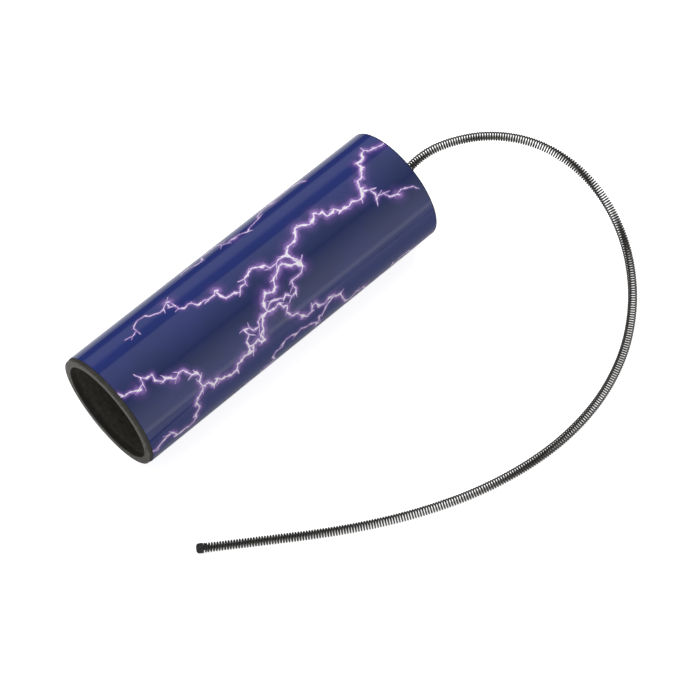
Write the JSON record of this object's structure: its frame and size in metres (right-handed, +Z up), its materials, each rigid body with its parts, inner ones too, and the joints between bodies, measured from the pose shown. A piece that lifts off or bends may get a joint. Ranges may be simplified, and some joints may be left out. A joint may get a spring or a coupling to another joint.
{
  "type": "thunder tube",
  "caption": "Hand-held thunder tube: an open fibreboard tube in a glossy printed wrap, with a drum head over one end and a long thin coil spring hanging from it.",
  "frame": {"origin": "on the floor under the middle of the tube, which lies on its side", "axes": "+X along the tube's axis from its open end to its drum head, +Z up, the spring's loop to -Y"},
  "size_m": [0.2655, 0.1725, 0.0589],
  "materials": {
    "shell": "dark grey fibreboard, matte and fibrous",
    "wrap": "glossy laminated print, deep blue with pale violet lightning",
    "head": "smoky black film, smooth",
    "washer": "black, satin",
    "fastener": "plain zinc plating",
    "spring": "dark drawn spring wire",
    "tip": "black, soft sheen"
  },
  "bodies": {
    "tube": {"tube_shell": "shell", "printed_wrap": "wrap", "drum_head": "head", "outer_washer": "washer", "inner_washer": "washer"},
    "anchor": {"anchor_pin": "fastener", "push_nut": "fastener", "spring_root": "spring"},
    "tail": {"spring_tail": "spring", "tip_cap": "tip"}
  },
  "joints": [
    {"name": "anchor_turn", "type": "hinge", "parent": "tube", "child": "anchor", "pos_m": [0.0899, 0, 0.02945], "axis": [1, 0, 0], "continuous": true},
    {"name": "spring_swing", "type": "hinge", "parent": "anchor", "child": "tail", "pos_m": [0.10657, 0.00179, 0.03074], "axis": [0, 0, 1], "range_deg": [-16, 100]}
  ]
}
